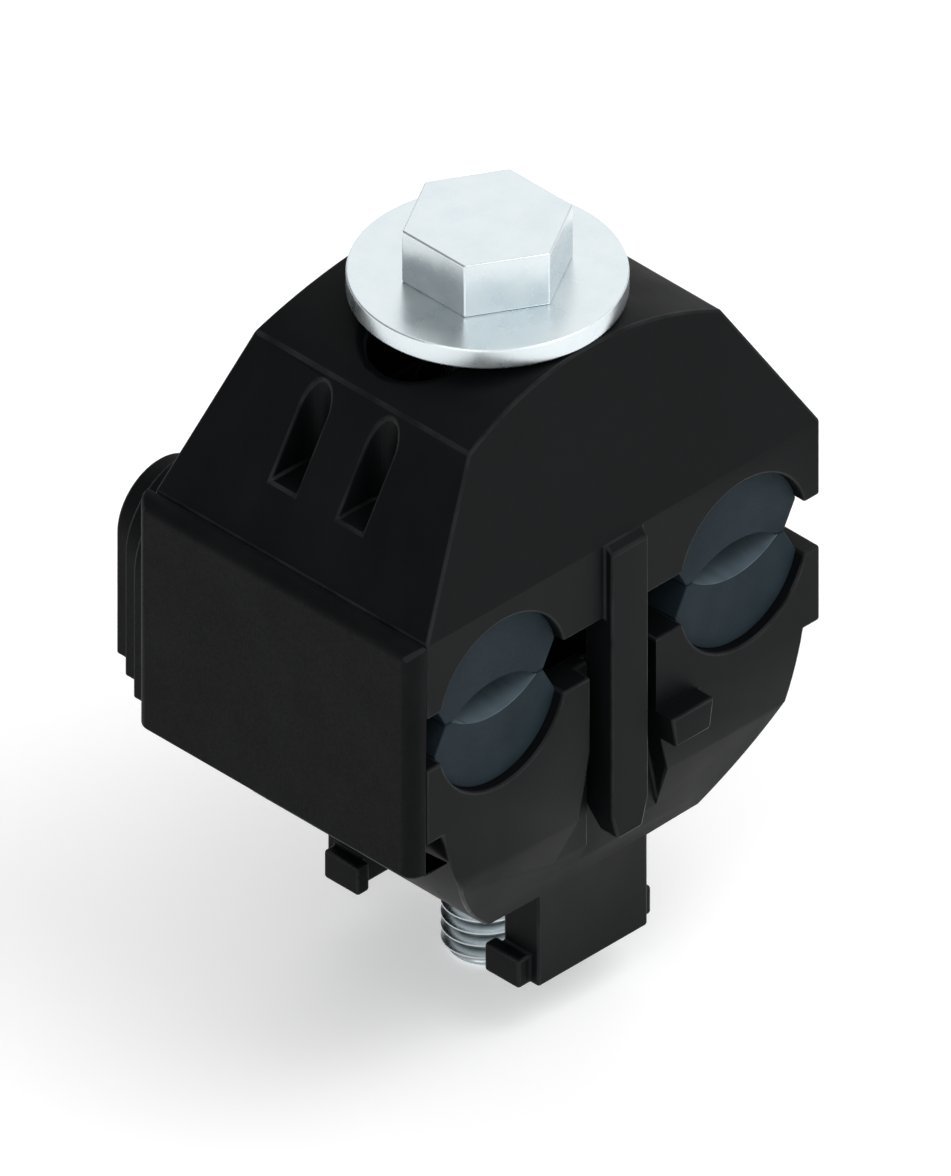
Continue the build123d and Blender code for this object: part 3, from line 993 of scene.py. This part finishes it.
def wind_thread():
    """The whole thread on the screw's axis, closed at both ends."""
    thread = thread_outline()
    winding = thread.modifiers.new("winding", "SCREW")
    winding.screw_offset = PITCH * MM
    winding.iterations = math.ceil((THREAD_HIGH - THREAD_LOW) / PITCH) + SPARE_TURNS
    winding.steps = STEPS_PER_TURN
    winding.render_steps = STEPS_PER_TURN
    print("turns wound:", winding.iterations)
    apply_modifiers(thread)
    bpy.ops.object.mode_set(mode="EDIT")
    bpy.ops.mesh.select_all(action="SELECT")
    bpy.ops.mesh.remove_doubles(threshold=SEAM_TOLERANCE)
    bpy.ops.mesh.normals_make_consistent(inside=False)
    start = THREAD_LOW - SPARE_TURNS / 2 * PITCH
    bpy.ops.transform.translate(value=(SCREW_X * MM, 0, start * MM))
    bpy.ops.object.mode_set(mode="OBJECT")
    cut_and_close(thread, THREAD_LOW, True)
    cut_and_close(thread, THREAD_HIGH, False)
    return thread


thread = wind_thread()
print("thread faces:", len(thread.data.polygons))

# %% [markdown]
# ## Tip of the screw
#
# The tip is chamfered, so that the nut finds its way on. Scaling the last turn smaller would
# squash its thread. A real chamfer cuts through it, so the thread is cut here too, by a turned
# blank with a chamfered end, of which a Boolean modifier keeps what both have in common. Its
# manifold solver is the quickest, and it needs closed meshes, which all of these are.

# %% Join or cut
def combine(piece, other, operation):
    """Joins or cuts a piece with another one, which is used up."""
    boolean = piece.modifiers.new("combine", "BOOLEAN")
    boolean.operation = operation
    boolean.solver = "MANIFOLD"
    boolean.object = other
    apply_modifiers(piece)
    bpy.data.objects.remove(other)


# %% Chamfered tip
TIP_CHAMFER = 0.9
CREST_ROOM = 0.02
OVERSHOOT = 1.0


def turned_blank():
    """A cylinder a little wider than the crests, with a chamfered lower end."""
    radius = CREST_RADIUS + CREST_ROOM
    high = THREAD_HIGH + OVERSHOOT
    blank = steel_blank("turned_blank", ROUND_SIDES, radius, THREAD_LOW, high)
    middle = (THREAD_LOW + THREAD_HIGH) / 2 * MM
    corners = blank.data.vertices
    pick(blank, "EDGE", lambda edge: all(corners[i].co.z < middle for i in edge.vertices))
    bpy.ops.mesh.bevel(offset=TIP_CHAMFER * MM, segments=1, affect="EDGES")
    bpy.ops.object.mode_set(mode="OBJECT")
    return blank


combine(thread, turned_blank(), "INTERSECT")
print("thread faces with its tip:", len(thread.data.polygons))

# %% [markdown]
# ## Head and neck
#
# The hexagon head is cold-formed from the same bar as the shank, with soft corners, and a
# short neck without thread lies below it. They could stay three pieces that overlap, but a
# screw is one piece of steel, so Boolean unions make one closed mesh of them. The head's edges
# are rounded first, while it is still a simple prism.

# %% Head and neck
HEAD_LOW = 29.6
HEAD_HIGH = 34.9
HEAD_EDGE = 0.2
HEXAGON_SIDES = 6
HEXAGON_SIZE = 13.0
CORNER_RADIUS = HEXAGON_SIZE / math.sqrt(3)
NECK_LOW = 26.4
NECK_RADIUS = 3.6

screw = steel_blank("clamping_screw", HEXAGON_SIDES, CORNER_RADIUS, HEAD_LOW, HEAD_HIGH)
round_edges(screw, HEAD_EDGE, segments=3)
neck = steel_blank("neck", ROUND_SIDES, NECK_RADIUS, NECK_LOW, HEAD_LOW + OVERSHOOT)
combine(screw, neck, "UNION")
combine(screw, thread, "UNION")
print("screw faces:", len(screw.data.polygons))

# %% [markdown]
# ## Depth in the thread
#
# The zinc finish wants to know where to paint shade in the roots. The screw stands on one
# axis, so a point's distance from that axis says how deep in the thread it lies, and each
# point keeps it as a value. At the chamfered tip the crests come closer to the axis, and the
# scale goes with them. Faces could keep the value too, but on points it changes softly along
# the flanks.

# %% Depth in the thread
def mark_depth(screw):
    """Marks how deep in the thread each point lies: 0 at the crest and 1 at the root."""
    depth = screw.data.attributes.new(THREAD_DEPTH, "FLOAT", "POINT")
    for corner in screw.data.vertices:
        across = math.hypot(corner.co.x / MM - SCREW_X, corner.co.y / MM)
        above_tip = corner.co.z / MM - THREAD_LOW
        outside = CREST_RADIUS - max(TIP_CHAMFER - above_tip, 0)
        share = (outside - across) / (CREST_RADIUS - ROOT_RADIUS)
        threaded = 0 < round(above_tip, 3) < THREAD_HIGH - THREAD_LOW
        depth.data[corner.index].value = min(max(share, 0.0), 1.0) * threaded


mark_depth(screw)
select_only(screw)
bpy.ops.object.shade_smooth_by_angle(angle=SMOOTH_ANGLE)
dress(screw, "screw", "zinc_steel", "hex_bolt")

# %% [markdown]
# ## Captive nut
#
# The nut sits in a hexagonal pocket of the lower shell's foot, which keeps it from turning, so
# that the screw draws the jaws together. It is a hexagon blank whose bore is cut by a Boolean
# modifier: insetting its ends, as on the washer, would leave a hexagonal hole.

# %% Captive nut
NUT_LOW = -25.85
NUT_HIGH = -19.35
NUT_BORE_RADIUS = 4.05
NUT_EDGE = 0.2

nut = steel_blank("plated_nut", HEXAGON_SIDES, CORNER_RADIUS, NUT_LOW, NUT_HIGH)
bore_ends = (NUT_LOW - OVERSHOOT, NUT_HIGH + OVERSHOOT)
bore = steel_blank("nut_bore", ROUND_SIDES, NUT_BORE_RADIUS, *bore_ends)
combine(nut, bore, "DIFFERENCE")
round_edges(nut, NUT_EDGE)
dress(nut, "lower_jaw", "zinc_steel", "captive_nut")

# %% [markdown]
# ## Floor
#
# A plain white floor under the screw's tip. The camera sees only the floor behind the part, as
# the drawing's white paper. More light would whiten the floor, but it would bleach the part
# too. A real white sweep is lit on its own, so here the floor glows a little for the rays that
# come straight from the camera or by way of shiny metal, and the part's soft shadow stays.

# %% Rays and glow
def ray_is(tree, *kinds):
    """One where a ray is of one of these kinds, and zero where it isn't."""
    rays = tree.nodes.new("ShaderNodeLightPath")
    found = rays.outputs[kinds[0]]
    for kind in kinds[1:]:
        either = tree.nodes.new("ShaderNodeMath")
        either.operation = "MAXIMUM"
        tree.links.new(found, either.inputs[0])
        tree.links.new(rays.outputs[kind], either.inputs[1])
        found = either.outputs[0]
    return found


def glow(tree, strength):
    """A plain white glow of the given strength."""
    node = tree.nodes.new("ShaderNodeEmission")
    node.inputs["Strength"].default_value = strength
    return node.outputs[0]


# %% White paint
FLOOR_TONE = 0.88
FLOOR_ROUGHNESS = 0.9
FLOOR_GLOW = 0.3


def white_floor():
    """Matt white paint that glows a little where the camera, metal or glass sees it."""
    material, tree = new_material("white_floor")
    shader_inputs(tree)["Base Color"].default_value = (FLOOR_TONE, FLOOR_TONE, FLOOR_TONE, 1)
    shader_inputs(tree)["Roughness"].default_value = FLOOR_ROUGHNESS
    shader_inputs(tree)["Specular IOR Level"].default_value = 0.0
    seen = ray_is(tree, "Is Camera Ray", "Is Glossy Ray", "Is Transmission Ray")
    choice = tree.nodes.new("ShaderNodeMixShader")
    tree.links.new(seen, choice.inputs[0])
    tree.links.new(glow(tree, 0.0), choice.inputs[1])
    tree.links.new(glow(tree, FLOOR_GLOW), choice.inputs[2])
    both = tree.nodes.new("ShaderNodeAddShader")
    tree.links.new(tree.nodes["Principled BSDF"].outputs[0], both.inputs[0])
    tree.links.new(choice.outputs[0], both.inputs[1])
    tree.links.new(both.outputs[0], tree.nodes["Material Output"].inputs["Surface"])
    return material


# %% Floor
FLOOR_SIZE = 6.0

bpy.ops.object.select_all(action="DESELECT")
bpy.ops.mesh.primitive_plane_add(size=FLOOR_SIZE, location=(0, 0, cad_box[0][2]))
floor = settle(bpy.context.object)
floor.name = "floor"
floor.data.materials.append(white_floor())
print("floor height in millimetres:", round(cad_box[0][2] / MM, 2))

# %% [markdown]
# ## Studio walls
#
# The studio is plain and soft, at a level at which a colour comes out about as it is written.
# White walls could be built around the part. The world does the same without any, and it can
# be brighter in front than behind, so that the head's two visible sides mirror different
# tones, as they do in the drawing. The camera itself sees it as plain white paper.

# %% Studio walls
WORLD_STRENGTH = 0.65
WORLD_SWING = 0.45
BRIGHT_SIDE = (0.26, -0.966, 0.0)
PAPER_WHITE = 1.0


def add_studio_walls():
    """An even fill, brighter in front than behind, that the camera sees as plain white."""
    world = bpy.data.worlds.new("studio_walls")
    world.use_nodes = True
    tree = world.node_tree
    direction = tree.nodes.new("ShaderNodeTexCoord")
    forward = tree.nodes.new("ShaderNodeVectorMath")
    forward.operation = "DOT_PRODUCT"
    forward.inputs[1].default_value = BRIGHT_SIDE
    tree.links.new(direction.outputs["Generated"], forward.inputs[0])
    levels = (WORLD_STRENGTH - WORLD_SWING, WORLD_STRENGTH + WORLD_SWING)
    fill = spread(tree, forward.outputs["Value"], levels, start=-1, end=1)
    seen = tree.nodes.new("ShaderNodeMix")
    tree.links.new(ray_is(tree, "Is Camera Ray"), seen.inputs["Factor"])
    tree.links.new(fill, seen.inputs["A"])
    seen.inputs["B"].default_value = PAPER_WHITE
    background = tree.nodes["Background"]
    background.inputs["Color"].default_value = (1, 1, 1, 1)
    tree.links.new(seen.outputs["Result"], background.inputs["Strength"])
    bpy.context.scene.world = world
    return levels


levels = add_studio_walls()
print("world strength behind and in front:", [round(level, 2) for level in levels])

# %% [markdown]
# ## Lamps
#
# Black plastic shows its shape only by what it mirrors, and a small lamp would leave a hard
# spot on it. Large square lamps leave soft ones. A key lamp from the right front and a weaker
# one from the left shape the sides. A wide panel behind the part mirrors itself in every
# surface that lies flat, so the washer and the top of the screw's head turn bright. The table
# gives each lamp's place away from the part, its width in metres and its power in watts.

# %% Lamps
LAMPS = {
    "key_lamp": ((0.25, -0.50, 0.95), 0.6, 3.0),
    "left_lamp": ((-0.75, -0.25, 0.70), 0.6, 1.4),
    "back_panel": ((0.60, 0.60, 0.55), 0.9, 1.6),
}


def add_lamp(name, away, size, power):
    """A square soft lamp that stands away from the part, in metres, and faces it."""
    bpy.ops.object.select_all(action="DESELECT")
    bpy.ops.object.light_add(type="AREA")
    lamp = bpy.context.object
    lamp.name = name
    lamp.location = VIEW_CENTRE + Vector(away)
    lamp.rotation_euler = (-Vector(away)).to_track_quat("-Z", "Y").to_euler()
    lamp.data.size = size
    lamp.data.energy = power


for name, (away, size, power) in LAMPS.items():
    add_lamp(name, away, size, power)
    print(name, "power in watts:", power)

# %% [markdown]
# ## View settings
#
# Blender's usual view transform rolls bright tones off, as film does, and would grey the white
# floor. Standard shows each colour as it is written.

# %% View settings
bpy.context.scene.view_settings.view_transform = "Standard"
print("view transform:", bpy.context.scene.view_settings.view_transform)
